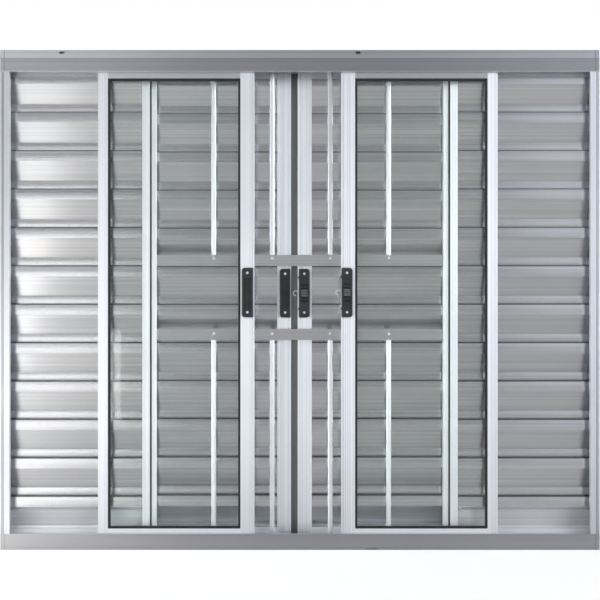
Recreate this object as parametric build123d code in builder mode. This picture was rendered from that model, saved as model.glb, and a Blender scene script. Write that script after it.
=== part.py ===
from build123d import *
import os

os.makedirs("parts", exist_ok=True)

# Louvred shutter window, all sizes in millimetres.
# X runs along the width, Y from the room to the outside, Z up from the underside of the sill.

# Overall size
WIDTH = 1200
HEIGHT = 1000

# Outer frame
FRAME_WALL = 1.5
HEAD_HEIGHT = 43
HEAD_LIP_HEIGHT = 16
SILL_HEIGHT = 32
SILL_LIP_HEIGHT = 4
SILL_REAR_HEIGHT = 20
LIP_STEP = 1.5
JAMB_WIDTH = 19
JAMB_LIP = 3
JAMB_GROOVE = 4.5
JAMB_GROOVE_DEPTH = 3
JAMB_RETURN = 11
JAMB_RIB = 13.5
RETURN_EDGE = 8
DIVIDER_HEIGHT = 14
TRACK_RIB = 2
TRACK_RIB_HEIGHT = 11
HEAD_RIB_REACH = 35
FIXING_HOLE_RADIUS = 3
FIXING_HOLE_RISE = 600
CLIP_HOLE_WIDTH = 10
CLIP_HOLE_HEIGHT = 5
CLIP_HOLE_DROP = 3
CLIP_HOLE_PLACES = (-476, 116)
DRAIN_WIDTH = 24
DRAIN_HEIGHT = 4
DRAIN_PITCH = 280
DRAIN_COUNT = 4
LIP_SLOT_HEIGHT = 2
LIP_SLOT_PLACE = 144

# Leaves
LEAF_DEPTH = 26
LEAF_GAP = 8
LEAF_WALL = 1.2
LEAF_OVERLAP = 14
LEAF_LIFT = 8
LEAF_TOP_ENTRY = 19
OUTER_STILE = 20
MEETING_STILE = 28
RIDGE_WIDTH = 3
RIDGE_HEIGHT = 0.8
RIDGE_GROOVE = 2.5
GUIDE_DEPTH = 14
ROLLER_WEB_HEIGHT = 24
NOTCH_PLAY = 1
SEAT = 0.3

# Fixed shutters and sliding shutters
FIXED_OVERLAP = 4
FIXED_OUTER_STILE = 13
FIXED_INNER_STILE = 15
FIXED_GROOVE_FROM = 4.4
FIXED_GROOVE = 3
SHUTTER_RAIL_SHOW_TOP = 5
SHUTTER_RAIL_SHOW_BOTTOM = 6
SHUTTER_MEET_LEFT = -18.5
SHUTTER_MEET_RIGHT = -4

# Slats
SLAT_PITCH_WANTED = 78
SLAT_SHEET = 0.8
SLAT_DEPTH = 17
SLAT_FRONT_HEIGHT = 22
SLAT_BACK_HEIGHT = 17
SLAT_LAP = 8
SLAT_HEM = 3
SLAT_PLAY = 0.2

# Glass leaves
GLASS_LEFT_EDGE = -91.5
GLASS_RIGHT_EDGE = 82.5
GLASS_RAIL_SHOW_TOP = 12
GLASS_RAIL_SHOW_BOTTOM = 9.5
GLASS_THICKNESS = 4
POCKET_DEPTH = 9
GASKET_LEG = 4.35
GASKET_BASE = 2
GASKET_SHOW = 4.5

# Grille between the fixed shutters
GRILLE_DEPTH = 12
GRILLE_WALL = 1.2
POST_WIDTH = 10
BAR_WIDTH = 10
BAR_CORNER = 2.5
BAR_COUNT = 4
BAR_OFFSET = 2.4
RAIL_HEIGHT = 22
RAIL_UPPER_BASE = 570
RAIL_LOWER_BASE = 420
BRUSH_WIDTH = 3.4
BRUSH_DEPTH = 6

# Pulls and latches
PULL_WIDTH = 21.5
PULL_HEIGHT = 99
PULL_DEPTH = 9
PULL_CENTRE = 515
PULL_CLEARANCE = 3.2
PULL_SETBACK = 1
PULL_RIM = 3.5
PULL_CORNER = 6
PULL_EDGE_CORNER = 1.5
PULL_CHAMFER = 1.2
PULL_RECESS = 5
PULL_RECESS_HEIGHT = 60
SCREW_SEAT_RADIUS = 4.4
SCREW_SEAT_DEPTH = 1.2
SCREW_PITCH = 79
SLOT_HEIGHT = 4.4
SLOT_NEAR = 9.4
SLOT_FAR = 17
RIB_DROP = 1.5
SLIDE_WIDTH = 13
SLIDE_HEIGHT = 13.4
SLIDE_RISE = 1.5
SLIDE_CORNER = 2.5
SLIDE_GROOVE = 1
SLIDE_GROOVE_PITCH = 3.2
TAB_REACH = 2.4
TAB_HEIGHT = 3
TAB_DEPTH = 4
TAB_RISE = 32
HOOK_RADIUS = 5.8
HOOK_BAR = 1.6
HOOK_REACH = 6.6
HOOK_THICKNESS = 2.5

# Roller carriages under the sliding leaves and guide blocks at the heads of all leaves
ROLLER_RADIUS = 5
ROLLER_WIDTH = 8
CARRIAGE_LENGTH = 24
CARRIAGE_CLEARANCE = 3
ROLLER_INSET = 45
GUIDE_LENGTH = 30
GUIDE_HEIGHT = 10

# Places worked out from the sizes above
half_width = WIDTH / 2
track_pitch = LEAF_DEPTH + LEAF_GAP
leaf_front_room = RIDGE_HEIGHT + PULL_DEPTH + PULL_CLEARANCE
depth = 2 * track_pitch + LEAF_DEPTH + 2 * leaf_front_room
front = -depth / 2
rear = depth / 2
head_base = HEIGHT - HEAD_HEIGHT
glass_track = -track_pitch
middle_track = 0
shutter_track = track_pitch
leaf_width = WIDTH / 4 + LEAF_OVERLAP
leaf_base = LEAF_LIFT
leaf_top = head_base + LEAF_TOP_ENTRY
half_leaf = LEAF_DEPTH / 2
half_bay = half_leaf - LEAF_WALL
head_rib_base = HEIGHT - HEAD_RIB_REACH
guide_floor = leaf_top - GUIDE_DEPTH
fixed_edge = WIDTH / 4 + FIXED_OVERLAP
web_inside = half_width - FRAME_WALL
shutter_sight_top = head_base - SHUTTER_RAIL_SHOW_TOP
shutter_sight_base = SILL_HEIGHT + SHUTTER_RAIL_SHOW_BOTTOM
glass_sight_top = head_base - GLASS_RAIL_SHOW_TOP
glass_sight_base = SILL_HEIGHT + GLASS_RAIL_SHOW_BOTTOM
slat_top = guide_floor - LEAF_WALL - 0.9
slat_base = ROLLER_WEB_HEIGHT + LEAF_WALL + SEAT
slat_count = round((slat_top - slat_base) / SLAT_PITCH_WANTED)
slat_pitch = (slat_top - slat_base) / slat_count


def area(x_low, x_high, y_low, y_high, mode=Mode.ADD):
    """One rectangle of a section, given by its edges."""
    with Locations(((x_low + x_high) / 2, (y_low + y_high) / 2)):
        Rectangle(x_high - x_low, y_high - y_low, mode=mode)


def lengthwise(section, x_low, x_high):
    """An extrusion that runs along the width; its section is drawn in Y and Z."""
    with BuildPart() as profile:
        with BuildSketch(Plane.YZ.offset(x_low)):
            section()
        extrude(amount=x_high - x_low)
    return profile


def upright(section, z_low, z_high):
    """An extrusion that stands up; its section is drawn in X and Y."""
    with BuildPart() as profile:
        with BuildSketch(Plane.XY.offset(z_low)):
            section()
        extrude(amount=z_high - z_low)
    return profile


def leaf_stile(section, x_middle, track):
    """Stile of a leaf, full height, its ends notched so that they straddle the track's ribs."""
    notch_width = TRACK_RIB + 2 * NOTCH_PLAY
    notch_reach = 2 * MEETING_STILE
    with BuildPart() as stile:
        with BuildSketch(Plane.XY.offset(leaf_base)):
            section()
        extrude(amount=leaf_top - leaf_base)
        with BuildSketch(Plane.XY.offset(leaf_base)):
            with Locations((x_middle, track)):
                Rectangle(notch_reach, notch_width)
        extrude(amount=TRACK_RIB_HEIGHT + NOTCH_PLAY - leaf_base, mode=Mode.SUBTRACT)
        with BuildSketch(Plane.XY.offset(head_rib_base - NOTCH_PLAY)):
            with Locations((x_middle, track)):
                Rectangle(notch_reach, notch_width)
        extrude(amount=leaf_top - head_rib_base + NOTCH_PLAY, mode=Mode.SUBTRACT)
    return stile


def save(piece, name):
    """Label a finished piece and write its file."""
    piece.part.label = name
    export_step(piece.part, f"parts/{name}.step")


def head_section():
    """Channel open downwards, with a stepped lip to the room and a rib for each track."""
    face = front + LIP_STEP
    lip_base = HEIGHT - HEAD_LIP_HEIGHT
    area(front, rear, HEIGHT - FRAME_WALL, HEIGHT)
    area(front, front + FRAME_WALL, lip_base, HEIGHT)
    area(front, face + FRAME_WALL, lip_base, lip_base + FRAME_WALL)
    area(face, face + FRAME_WALL, head_base, lip_base + FRAME_WALL)
    area(face, face + RETURN_EDGE, head_base, head_base + FRAME_WALL)
    area(rear - FRAME_WALL, rear, head_base, HEIGHT)
    area(rear - RETURN_EDGE, rear, head_base, head_base + FRAME_WALL)
    for track in (glass_track, middle_track, shutter_track):
        area(track - TRACK_RIB / 2, track + TRACK_RIB / 2, head_rib_base, HEIGHT)


def sill_section():
    """Channel open upwards, high to the room and low to the outside, with a rib for each track."""
    face = front + LIP_STEP
    area(front, rear, 0, FRAME_WALL)
    area(front, front + FRAME_WALL, 0, SILL_LIP_HEIGHT)
    area(front, face + FRAME_WALL, SILL_LIP_HEIGHT - FRAME_WALL, SILL_LIP_HEIGHT)
    area(face, face + FRAME_WALL, SILL_LIP_HEIGHT - FRAME_WALL, SILL_HEIGHT)
    area(face, face + RETURN_EDGE, SILL_HEIGHT - FRAME_WALL, SILL_HEIGHT)
    area(rear - FRAME_WALL, rear, 0, SILL_REAR_HEIGHT)
    for track in (glass_track, middle_track, shutter_track):
        area(track - TRACK_RIB / 2, track + TRACK_RIB / 2, 0, TRACK_RIB_HEIGHT)
    for divider in (-track_pitch / 2, track_pitch / 2):
        area(divider - FRAME_WALL / 2, divider + FRAME_WALL / 2, 0, DIVIDER_HEIGHT)


# Head with two clip holes in its upper lip
with BuildPart() as head:
    with BuildSketch(Plane.YZ.offset(-web_inside)):
        head_section()
    extrude(amount=2 * web_inside)
    with BuildSketch(Plane.XZ.offset(-front)):
        for place in CLIP_HOLE_PLACES:
            with Locations((place, HEIGHT - CLIP_HOLE_DROP - CLIP_HOLE_HEIGHT / 2)):
                Rectangle(CLIP_HOLE_WIDTH, CLIP_HOLE_HEIGHT)
    extrude(amount=-FRAME_WALL, mode=Mode.SUBTRACT)
save(head, "frame_head")

# Sill with drain slots in its rear wall and a slot in its front lip
with BuildPart() as sill:
    with BuildSketch(Plane.YZ.offset(-web_inside)):
        sill_section()
    extrude(amount=2 * web_inside)
    with BuildSketch(Plane.XZ.offset(-rear)):
        with Locations((0, FRAME_WALL + DRAIN_HEIGHT / 2)):
            with GridLocations(DRAIN_PITCH, DRAIN_PITCH, DRAIN_COUNT, 1):
                SlotOverall(DRAIN_WIDTH, DRAIN_HEIGHT)
    extrude(amount=FRAME_WALL, mode=Mode.SUBTRACT)
    with BuildSketch(Plane.XZ.offset(-front)):
        with Locations((LIP_SLOT_PLACE, FRAME_WALL + LIP_SLOT_HEIGHT / 2)):
            Rectangle(DRAIN_WIDTH, LIP_SLOT_HEIGHT)
    extrude(amount=-FRAME_WALL, mode=Mode.SUBTRACT)
save(sill, "frame_sill")


def jamb(side):
    """Full-height web with coped flanges; side is -1 for the left jamb and 1 for the right."""
    groove_outer = half_width - JAMB_LIP
    groove_inner = groove_outer - JAMB_GROOVE
    groove_floor = front + JAMB_GROOVE_DEPTH
    inner_edge = half_width - JAMB_WIDTH

    def span(x_inner, x_outer, y_low, y_high):
        low, high = sorted((side * x_inner, side * x_outer))
        area(low, high, y_low, y_high)

    with BuildPart() as piece:
        with BuildSketch(Plane.XY):
            span(web_inside, half_width, front, rear)
        extrude(amount=HEIGHT)
        with BuildSketch(Plane.XY.offset(SILL_HEIGHT)):
            span(groove_outer, half_width, front, front + FRAME_WALL)
            span(groove_outer, groove_outer + FRAME_WALL, front, groove_floor)
            span(groove_inner - FRAME_WALL, groove_outer + FRAME_WALL, groove_floor - FRAME_WALL, groove_floor)
            span(groove_inner - FRAME_WALL, groove_inner, front, groove_floor)
            span(inner_edge, groove_inner, front, front + FRAME_WALL)
            span(inner_edge, inner_edge + FRAME_WALL, front, front + JAMB_RETURN)
            for divider in (-track_pitch / 2, track_pitch / 2):
                span(web_inside - JAMB_RIB, half_width, divider - FRAME_WALL / 2, divider + FRAME_WALL / 2)
        extrude(amount=head_base - SILL_HEIGHT)
        with BuildSketch(Plane.XY.offset(SILL_REAR_HEIGHT)):
            span(web_inside - JAMB_RIB, half_width, rear - FRAME_WALL, rear)
        extrude(amount=head_base - SILL_REAR_HEIGHT)
        with BuildSketch(Plane.YZ.offset(side * half_width)):
            with Locations((0, HEIGHT / 2)):
                with GridLocations(2 * track_pitch, FIXING_HOLE_RISE, 2, 2):
                    Circle(FIXING_HOLE_RADIUS)
        extrude(amount=-side * FRAME_WALL, mode=Mode.SUBTRACT)
    return piece


save(jamb(-1), "frame_jamb_left")
save(jamb(1), "frame_jamb_right")


def channel_stile(x_web, x_open, track, ridges=0, groove=False, tongue=0):
    """Shutter stile: a channel whose web is at x_web and whose open side, at x_open, takes the slat ends."""
    toward = 1 if x_open > x_web else -1

    def span(from_web, to_web, y_low, y_high, mode=Mode.ADD):
        low, high = sorted((x_web + toward * from_web, x_web + toward * to_web))
        area(low, high, track + y_low, track + y_high, mode)

    def section():
        width = abs(x_open - x_web)
        span(0, width, -half_leaf, half_leaf)
        span(LEAF_WALL, width, -half_bay, half_bay, Mode.SUBTRACT)
        for ridge in range(ridges):
            start = ridge * (RIDGE_WIDTH + RIDGE_GROOVE)
            span(start, start + RIDGE_WIDTH, -half_leaf - RIDGE_HEIGHT, -half_leaf)
        if groove:
            far = width - FIXED_GROOVE_FROM
            span(far - FIXED_GROOVE, far, -half_leaf, -half_leaf + LEAF_WALL / 2, Mode.SUBTRACT)
        if tongue:
            span(-tongue, LEAF_WALL, half_bay, half_leaf)

    return leaf_stile(section, (x_web + x_open) / 2, track)


def shutter_rail_top(x_low, x_high, track):
    """Top rail of a shutter: slat bay below its web, guide channel above it."""
    def section():
        area(track - half_leaf, track + half_leaf, shutter_sight_top, leaf_top)
        area(track - half_bay, track + half_bay, guide_floor, leaf_top, Mode.SUBTRACT)
        area(track - half_bay, track + half_bay, shutter_sight_top, guide_floor - LEAF_WALL, Mode.SUBTRACT)

    return lengthwise(section, x_low, x_high)


def shutter_rail_bottom(x_low, x_high, track, web_base):
    """Bottom rail of a shutter: slat bay above its web, and legs that straddle the sill's rib below."""
    def section():
        area(track - half_leaf, track + half_leaf, leaf_base, shutter_sight_base)
        area(track - half_bay, track + half_bay, leaf_base, web_base, Mode.SUBTRACT)
        area(track - half_bay, track + half_bay, web_base + LEAF_WALL, shutter_sight_base, Mode.SUBTRACT)

    return lengthwise(section, x_low, x_high)


def louvres(x_low, x_high, track):
    """Slats of one shutter: upright face to the room, slope down to the outside, upright face that laps the next."""
    near = track - half_bay + SLAT_PLAY
    far = near + SLAT_DEPTH - SLAT_SHEET
    with BuildPart() as slats:
        for index in range(slat_count):
            top = slat_top - index * slat_pitch
            bend = top - SLAT_FRONT_HEIGHT
            knee = top - slat_pitch + SLAT_BACK_HEIGHT
            last = index == slat_count - 1
            foot = top - slat_pitch + SLAT_SHEET - (0 if last else SLAT_LAP)
            with BuildSketch(Plane.YZ.offset(x_low)):
                with BuildLine():
                    Polyline(
                        (near + SLAT_HEM, top),
                        (near, top),
                        (near, bend),
                        (far, knee),
                        (far, foot),
                        (far - SLAT_HEM, foot),
                    )
                    offset(amount=SLAT_SHEET, kind=Kind.INTERSECTION, side=Side.LEFT)
                make_face()
            extrude(amount=x_high - x_low)
    return slats


def fixed_shutter(side, word):
    """Shutter that fills the middle track between a jamb and the grille."""
    outer = side * (web_inside - SEAT)
    inner = side * fixed_edge
    outer_open = outer - side * FIXED_OUTER_STILE
    inner_open = inner + side * FIXED_INNER_STILE
    rail_low, rail_high = sorted((outer_open, inner_open))
    save(channel_stile(outer, outer_open, middle_track), f"fixed_shutter_{word}_outer_stile")
    save(channel_stile(inner, inner_open, middle_track, groove=True), f"fixed_shutter_{word}_inner_stile")
    save(shutter_rail_top(rail_low, rail_high, middle_track), f"fixed_shutter_{word}_top_rail")
    save(
        shutter_rail_bottom(rail_low, rail_high, middle_track, TRACK_RIB_HEIGHT),
        f"fixed_shutter_{word}_bottom_rail",
    )
    slat_low, slat_high = sorted((outer - side * (LEAF_WALL + SEAT), inner + side * (LEAF_WALL + SEAT)))
    save(louvres(slat_low, slat_high, middle_track), f"fixed_shutter_{word}_slats")


def sliding_shutter(side, word, meeting_edge, tongue):
    """Shutter in the outer track, closed to the middle of the window."""
    outer = meeting_edge + side * leaf_width
    outer_open = outer - side * OUTER_STILE
    meeting_open = meeting_edge + side * MEETING_STILE
    rail_low, rail_high = sorted((outer_open, meeting_open))
    save(channel_stile(outer, outer_open, shutter_track), f"sliding_shutter_{word}_outer_stile")
    save(
        channel_stile(meeting_edge, meeting_open, shutter_track, ridges=2, tongue=tongue),
        f"sliding_shutter_{word}_meeting_stile",
    )
    save(shutter_rail_top(rail_low, rail_high, shutter_track), f"sliding_shutter_{word}_top_rail")
    save(
        shutter_rail_bottom(rail_low, rail_high, shutter_track, ROLLER_WEB_HEIGHT),
        f"sliding_shutter_{word}_bottom_rail",
    )
    slat_low, slat_high = sorted((outer - side * (LEAF_WALL + SEAT), meeting_edge + side * (LEAF_WALL + SEAT)))
    save(louvres(slat_low, slat_high, shutter_track), f"sliding_shutter_{word}_slats")


for side, word in ((-1, "left"), (1, "right")):
    fixed_shutter(side, word)
meeting_gap = SHUTTER_MEET_RIGHT - SHUTTER_MEET_LEFT
sliding_shutter(-1, "left", SHUTTER_MEET_LEFT, meeting_gap - 2 * SEAT)
sliding_shutter(1, "right", SHUTTER_MEET_RIGHT, 0)

# Glazing pocket, measured from the room face of a glass leaf
pocket_front = glass_track - half_bay
pane_front = pocket_front + GASKET_LEG
pane_back = pane_front + GLASS_THICKNESS
pocket_back = pane_back + GASKET_LEG


def glazed_stile(x_edge, x_open, ridges):
    """Stile of a glass leaf: hollow box with a glazing pocket at x_open, closed at x_edge."""
    toward = 1 if x_open > x_edge else -1
    width = abs(x_open - x_edge)
    pocket_floor = width - POCKET_DEPTH

    def span(from_edge, to_edge, y_low, y_high, mode=Mode.ADD):
        low, high = sorted((x_edge + toward * from_edge, x_edge + toward * to_edge))
        area(low, high, y_low, y_high, mode)

    def section():
        face, back = glass_track - half_leaf, glass_track + half_leaf
        span(0, width, face, back)
        span(LEAF_WALL, pocket_floor - LEAF_WALL, face + LEAF_WALL, back - LEAF_WALL, Mode.SUBTRACT)
        span(pocket_floor, width, pocket_front, pocket_back, Mode.SUBTRACT)
        span(pocket_floor, width - LEAF_WALL, pocket_back + LEAF_WALL, back - LEAF_WALL, Mode.SUBTRACT)
        for ridge in range(ridges):
            start = ridge * (RIDGE_WIDTH + RIDGE_GROOVE)
            span(start, start + RIDGE_WIDTH, face - RIDGE_HEIGHT, face)

    return leaf_stile(section, (x_edge + x_open) / 2, glass_track)


def glazed_rail(x_low, x_high, z_edge, z_open, web):
    """Rail of a glass leaf: glazing pocket at z_open, channel for guides or rollers at z_edge."""
    toward = 1 if z_open > z_edge else -1

    def span(y_low, y_high, from_edge, to_edge, mode=Mode.ADD):
        low, high = sorted((z_edge + toward * from_edge, z_edge + toward * to_edge))
        area(y_low, y_high, low, high, mode)

    def section():
        face, back = glass_track - half_leaf, glass_track + half_leaf
        height = abs(z_open - z_edge)
        pocket_floor = height - POCKET_DEPTH
        span(face, back, 0, height)
        span(face + LEAF_WALL, back - LEAF_WALL, 0, web, Mode.SUBTRACT)
        span(pocket_front, pocket_back, pocket_floor, height, Mode.SUBTRACT)
        span(pocket_back + LEAF_WALL, back - LEAF_WALL, pocket_floor, height - LEAF_WALL, Mode.SUBTRACT)

    return lengthwise(section, x_low, x_high)


def glass_leaf(side, word, inner_edge):
    """Glass leaf in the track next to the room, slid part of the way open."""
    outer_edge = inner_edge + side * leaf_width
    outer_open = outer_edge - side * OUTER_STILE
    inner_open = inner_edge + side * MEETING_STILE
    sight_low, sight_high = sorted((outer_open, inner_open))
    save(glazed_stile(outer_edge, outer_open, 0), f"glass_leaf_{word}_outer_stile")
    save(glazed_stile(inner_edge, inner_open, 2), f"glass_leaf_{word}_inner_stile")
    top_rail = glazed_rail(sight_low, sight_high, leaf_top, glass_sight_top, GUIDE_DEPTH)
    save(top_rail, f"glass_leaf_{word}_top_rail")
    roller_web = ROLLER_WEB_HEIGHT - leaf_base
    bottom_rail = glazed_rail(sight_low, sight_high, leaf_base, glass_sight_base, roller_web)
    save(bottom_rail, f"glass_leaf_{word}_bottom_rail")

    pane_reach = POCKET_DEPTH - SEAT - GASKET_BASE
    sight_centre = ((sight_low + sight_high) / 2, (glass_sight_base + glass_sight_top) / 2)
    sight_width = sight_high - sight_low
    sight_height = glass_sight_top - glass_sight_base
    with BuildPart() as pane:
        with BuildSketch(Plane.XZ.offset(-pane_back)):
            with Locations(sight_centre):
                Rectangle(sight_width + 2 * pane_reach, sight_height + 2 * pane_reach)
        extrude(amount=GLASS_THICKNESS)
    save(pane, f"glass_leaf_{word}_pane")

    with BuildPart() as gasket:
        with BuildSketch(Plane.XZ.offset(-pocket_back)):
            with Locations(sight_centre):
                gasket_reach = POCKET_DEPTH - SEAT
                Rectangle(sight_width + 2 * gasket_reach, sight_height + 2 * gasket_reach)
                Rectangle(sight_width - 2 * GASKET_SHOW, sight_height - 2 * GASKET_SHOW, mode=Mode.SUBTRACT)
        extrude(amount=pocket_back - pocket_front)
        with BuildSketch(Plane.XZ.offset(-pane_back)):
            with Locations(sight_centre):
                Rectangle(sight_width + 2 * pane_reach, sight_height + 2 * pane_reach)
        extrude(amount=GLASS_THICKNESS, mode=Mode.SUBTRACT)
    save(gasket, f"glass_leaf_{word}_gasket")


glass_leaf(-1, "left", GLASS_LEFT_EDGE)
glass_leaf(1, "right", GLASS_RIGHT_EDGE)

# Grille in the middle track, between the inner stiles of the fixed shutters
post_outer = fixed_edge - BRUSH_WIDTH
post_inner = post_outer - POST_WIDTH
grille_top = head_rib_base - SEAT
bar_pitch = (post_inner + post_outer) / (BAR_COUNT + 1)


def tube(x_low, x_high, y_half):
    """Rectangular tube section centred on the middle track."""
    area(x_low, x_high, -y_half, y_half)
    area(x_low + GRILLE_WALL, x_high - GRILLE_WALL, -y_half + GRILLE_WALL, y_half - GRILLE_WALL, Mode.SUBTRACT)


for side, word in ((-1, "left"), (1, "right")):
    low, high = sorted((side * post_inner, side * post_outer))
    post = upright(lambda: tube(low, high, GRILLE_DEPTH / 2), TRACK_RIB_HEIGHT, grille_top)
    save(post, f"grille_post_{word}")

for base, word in ((RAIL_UPPER_BASE, "upper"), (RAIL_LOWER_BASE, "lower")):
    def rail_section():
        y_half = GRILLE_DEPTH / 2
        top = base + RAIL_HEIGHT
        area(-y_half, y_half, base, top)
        area(-y_half + GRILLE_WALL, y_half - GRILLE_WALL, base + GRILLE_WALL, top - GRILLE_WALL, Mode.SUBTRACT)

    save(lengthwise(rail_section, -post_inner, post_inner), f"grille_rail_{word}")

for z_low, z_high, word in (
    (RAIL_UPPER_BASE + RAIL_HEIGHT, grille_top, "upper"),
    (TRACK_RIB_HEIGHT, RAIL_LOWER_BASE, "lower"),
):
    with BuildPart() as bars:
        with BuildSketch(Plane.XY.offset(z_low)):
            with Locations((BAR_OFFSET, 0)):
                with GridLocations(bar_pitch, bar_pitch, BAR_COUNT, 1):
                    bore = BAR_WIDTH - 2 * GRILLE_WALL
                    RectangleRounded(BAR_WIDTH, BAR_WIDTH, BAR_CORNER)
                    RectangleRounded(bore, bore, BAR_CORNER - GRILLE_WALL, mode=Mode.SUBTRACT)
        extrude(amount=z_high - z_low)
    save(bars, f"grille_bars_{word}")

with BuildPart() as brushes:
    with BuildSketch(Plane.XY.offset(TRACK_RIB_HEIGHT)):
        with GridLocations(2 * (post_outer + BRUSH_WIDTH / 2), BRUSH_WIDTH, 2, 1):
            Rectangle(BRUSH_WIDTH, BRUSH_DEPTH)
    extrude(amount=grille_top - TRACK_RIB_HEIGHT)
save(brushes, "grille_brush_seals")


def pull(near_edge, side, face, latch):
    """Moulded pull: straight beside the leaf's edge, rounded on its far side, screwed on at both ends.

    A shell has a finger recess; a latch has a thumb slide between cross slots, and two tabs at its straight edge.
    """
    middle = near_edge + side * PULL_WIDTH / 2
    back = Plane(origin=(middle, face, PULL_CENTRE), x_dir=(side, 0, 0), z_dir=(0, -1, 0))
    recess_width = PULL_WIDTH - 2 * PULL_RIM
    with BuildPart() as body:
        with BuildSketch(back) as outline:
            Rectangle(PULL_WIDTH, PULL_HEIGHT)
            fillet(outline.vertices().group_by(Axis.X)[0], PULL_EDGE_CORNER)
            fillet(outline.vertices().group_by(Axis.X)[-1], PULL_CORNER)
        extrude(amount=PULL_DEPTH)
        chamfer(body.faces().sort_by(Axis.Y)[0].edges(), PULL_CHAMFER)
        with BuildSketch(back.offset(PULL_DEPTH)):
            with GridLocations(SCREW_PITCH, SCREW_PITCH, 1, 2):
                Circle(SCREW_SEAT_RADIUS)
        extrude(amount=-SCREW_SEAT_DEPTH, mode=Mode.SUBTRACT)
        if latch:
            with BuildSketch(back.offset(PULL_DEPTH)):
                with GridLocations(SLOT_NEAR + SLOT_FAR, SLOT_NEAR + SLOT_FAR, 1, 2):
                    Rectangle(recess_width, SLOT_FAR - SLOT_NEAR)
            extrude(amount=-RIB_DROP, mode=Mode.SUBTRACT)
            with BuildSketch(back.offset(PULL_DEPTH)):
                with GridLocations(2 * SLOT_NEAR, 2 * SLOT_NEAR, 1, 2):
                    Rectangle(recess_width, SLOT_HEIGHT)
                with GridLocations(2 * SLOT_FAR, 2 * SLOT_FAR, 1, 2):
                    Rectangle(recess_width, SLOT_HEIGHT)
            extrude(amount=-PULL_RECESS, mode=Mode.SUBTRACT)
            with BuildSketch(back.offset(PULL_DEPTH)):
                RectangleRounded(SLIDE_WIDTH, SLIDE_HEIGHT, SLIDE_CORNER)
                with GridLocations(SLIDE_GROOVE_PITCH, SLIDE_GROOVE_PITCH, 1, 3):
                    Rectangle(SLIDE_WIDTH, SLIDE_GROOVE, mode=Mode.SUBTRACT)
            extrude(amount=SLIDE_RISE)
            with BuildSketch(back):
                with Locations((-PULL_WIDTH / 2, 0)):
                    with GridLocations(2 * TAB_RISE, 2 * TAB_RISE, 1, 2):
                        Rectangle(2 * TAB_REACH, TAB_HEIGHT)
            extrude(amount=TAB_DEPTH)
        else:
            with BuildSketch(back.offset(PULL_DEPTH)):
                RectangleRounded(recess_width, PULL_RECESS_HEIGHT, PULL_RIM)
            extrude(amount=-PULL_RECESS, mode=Mode.SUBTRACT)
    return body


# Each pull's place: leaf edge, side that the leaf lies on, room face of the leaf with its ridges
glass_face = glass_track - half_leaf - RIDGE_HEIGHT
shutter_face = shutter_track - half_leaf - RIDGE_HEIGHT
shell_places = (
    (GLASS_LEFT_EDGE - RIDGE_WIDTH - SEAT, -1, glass_face),
    (SHUTTER_MEET_LEFT - PULL_SETBACK, -1, shutter_face),
)
latch_places = (
    (GLASS_RIGHT_EDGE + PULL_SETBACK, 1, glass_face),
    (SHUTTER_MEET_RIGHT + 2 * PULL_SETBACK, 1, shutter_face),
)
shell_bodies = [pull(near_edge, side, face, latch=False) for near_edge, side, face in shell_places]
latch_bodies = [pull(near_edge, side, face, latch=True) for near_edge, side, face in latch_places]
with BuildPart() as shells:
    for body in shell_bodies:
        add(body.part)
save(shells, "shell_pulls")
with BuildPart() as latches:
    for body in latch_bodies:
        add(body.part)
save(latches, "latch_pulls")

# Hooks: open rings on short shanks at the straight edges of the latches
with BuildPart() as hooks:
    for near_edge, side, face in latch_places:
        with BuildSketch(Plane.XZ.offset(-face + (PULL_DEPTH - HOOK_THICKNESS) / 2)):
            with Locations((near_edge - side * HOOK_REACH, PULL_CENTRE)):
                Circle(HOOK_RADIUS)
                Circle(HOOK_RADIUS - HOOK_BAR, mode=Mode.SUBTRACT)
            with Locations((near_edge - side * HOOK_RADIUS / 2, PULL_CENTRE - HOOK_RADIUS / 2 - HOOK_BAR / 2)):
                Rectangle(HOOK_RADIUS, HOOK_RADIUS, mode=Mode.SUBTRACT)
            with Locations((near_edge - side * HOOK_BAR, PULL_CENTRE)):
                Rectangle(2 * HOOK_BAR, HOOK_BAR)
        extrude(amount=HOOK_THICKNESS)
save(hooks, "latch_hooks")

# Roller carriages fill the bottom rails of the sliding leaves; their wheels run on the sill's ribs
roller_centre = TRACK_RIB_HEIGHT + ROLLER_RADIUS
carriage_base = TRACK_RIB_HEIGHT + CARRIAGE_CLEARANCE
leaf_spans = (
    (glass_track, GLASS_LEFT_EDGE - leaf_width, GLASS_LEFT_EDGE),
    (glass_track, GLASS_RIGHT_EDGE, GLASS_RIGHT_EDGE + leaf_width),
    (shutter_track, SHUTTER_MEET_LEFT - leaf_width, SHUTTER_MEET_LEFT),
    (shutter_track, SHUTTER_MEET_RIGHT, SHUTTER_MEET_RIGHT + leaf_width),
)
with BuildPart() as rollers:
    for track, x_low, x_high in leaf_spans:
        for x in (x_low + ROLLER_INSET, x_high - ROLLER_INSET):
            with BuildSketch(Plane.XZ.offset(-track - half_bay)):
                area(x - CARRIAGE_LENGTH / 2, x + CARRIAGE_LENGTH / 2, carriage_base, ROLLER_WEB_HEIGHT)
            extrude(amount=2 * half_bay)
            with BuildSketch(Plane.XZ.offset(-track - ROLLER_WIDTH / 2)):
                with Locations((x, roller_centre)):
                    Circle(ROLLER_RADIUS)
            extrude(amount=ROLLER_WIDTH)
save(rollers, "leaf_rollers")

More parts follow.
